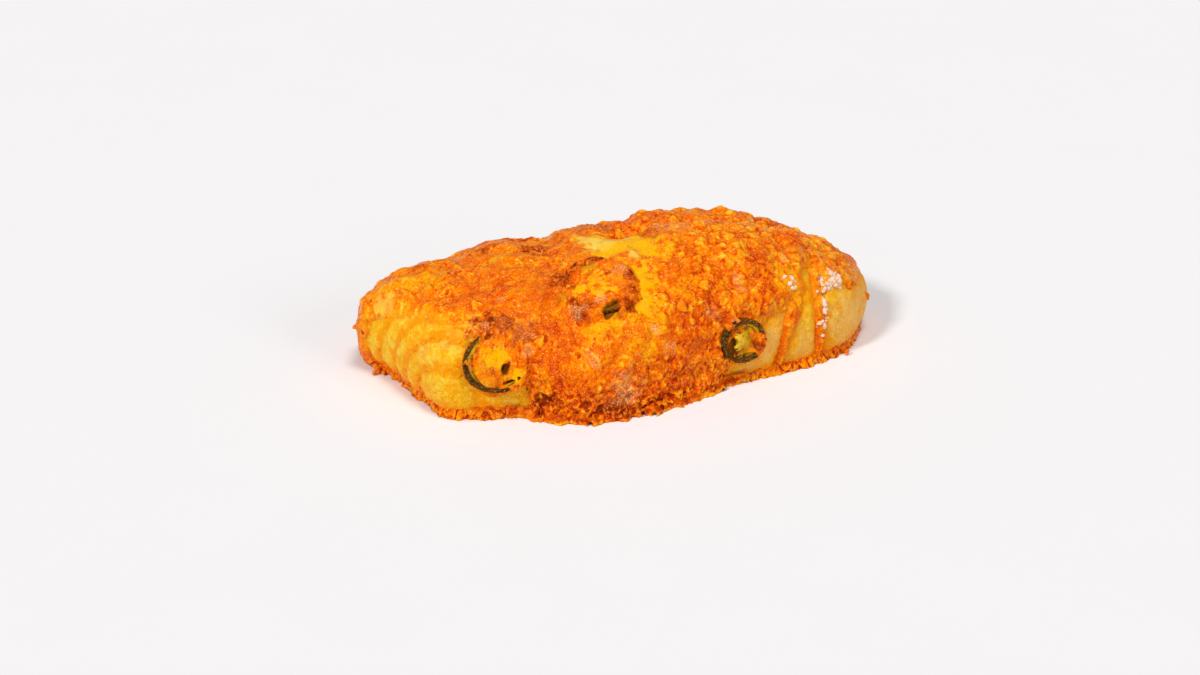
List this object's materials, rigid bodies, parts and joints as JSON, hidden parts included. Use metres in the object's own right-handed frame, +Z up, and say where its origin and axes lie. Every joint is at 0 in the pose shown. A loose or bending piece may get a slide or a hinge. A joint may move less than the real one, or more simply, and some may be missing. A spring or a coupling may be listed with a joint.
{
  "type": "focaccia loaf",
  "caption": "Long, uneven focaccia loaf with a flat base, a browned shell of melted cheese that leaves some dough bare, and jalapeno slices baked into it.",
  "frame": {"origin": "on the surface the loaf lies on, under the middle of its box", "axes": "+X along the loaf to its right end, +Y to its back, +Z up"},
  "size_m": [0.2256, 0.121, 0.0585],
  "materials": {
    "dough": "baked pale golden dough, dry and matte",
    "cheese": "browned melted cheese, oily sheen",
    "jalapeno": "roasted green pepper, moist"
  },
  "bodies": {
    "root": {"bread": "dough", "melted_cheese": "cheese", "jalapeno_slice_left": "jalapeno", "jalapeno_slice_middle": "jalapeno", "jalapeno_slice_right": "jalapeno"}
  },
  "joints": []
}
